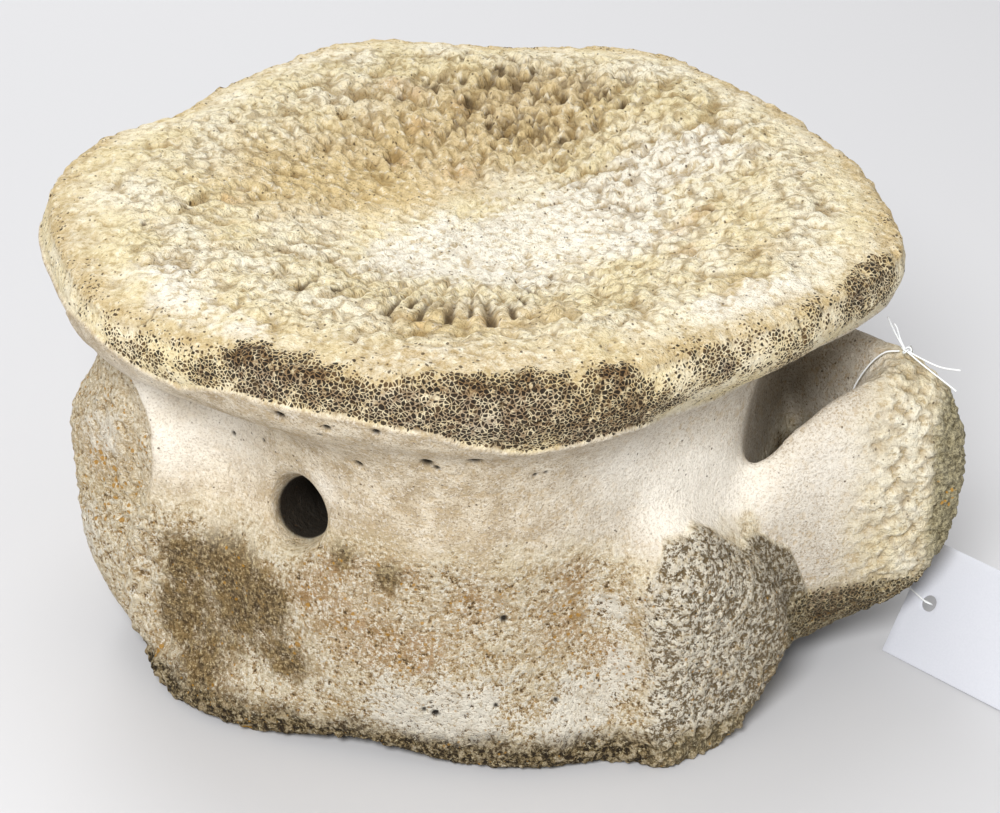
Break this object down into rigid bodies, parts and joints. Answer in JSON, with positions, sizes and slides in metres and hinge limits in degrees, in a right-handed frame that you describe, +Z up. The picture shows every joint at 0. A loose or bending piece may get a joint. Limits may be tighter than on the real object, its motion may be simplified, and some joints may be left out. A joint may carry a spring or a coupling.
{
  "type": "whale vertebra",
  "caption": "Life-size whale tail vertebra standing on its end face: dished centrum, neural arch over a canal, worn processes, and a blank specimen tag on a line.",
  "frame": {"origin": "on the floor, under the middle of the bone's box (the tag and its line not counted)", "axes": "+Z up, along the centrum from its head-end face, which it stands on, to its tail-end face; +X towards the whale's back, where the neural arch is; -Y towards its right side"},
  "size_m": [0.4026, 0.3044, 0.1645],
  "materials": {
    "bone": "dry weathered bone: matt, chalky cream to tan, with brown-stained open pores on the worn ends",
    "card": "smooth white card, blank, with a slight sheen",
    "line": "thin white nylon line, slightly glossy"
  },
  "bodies": {
    "root": {"centrum": "bone", "neural_arch": "bone", "neural_spine": "bone", "metapophysis_left": "bone", "metapophysis_right": "bone", "hemapophysis_left": "bone", "hemapophysis_right": "bone", "tag_card": "card", "tag_line": "line", "tag_knot": "line"}
  },
  "joints": []
}
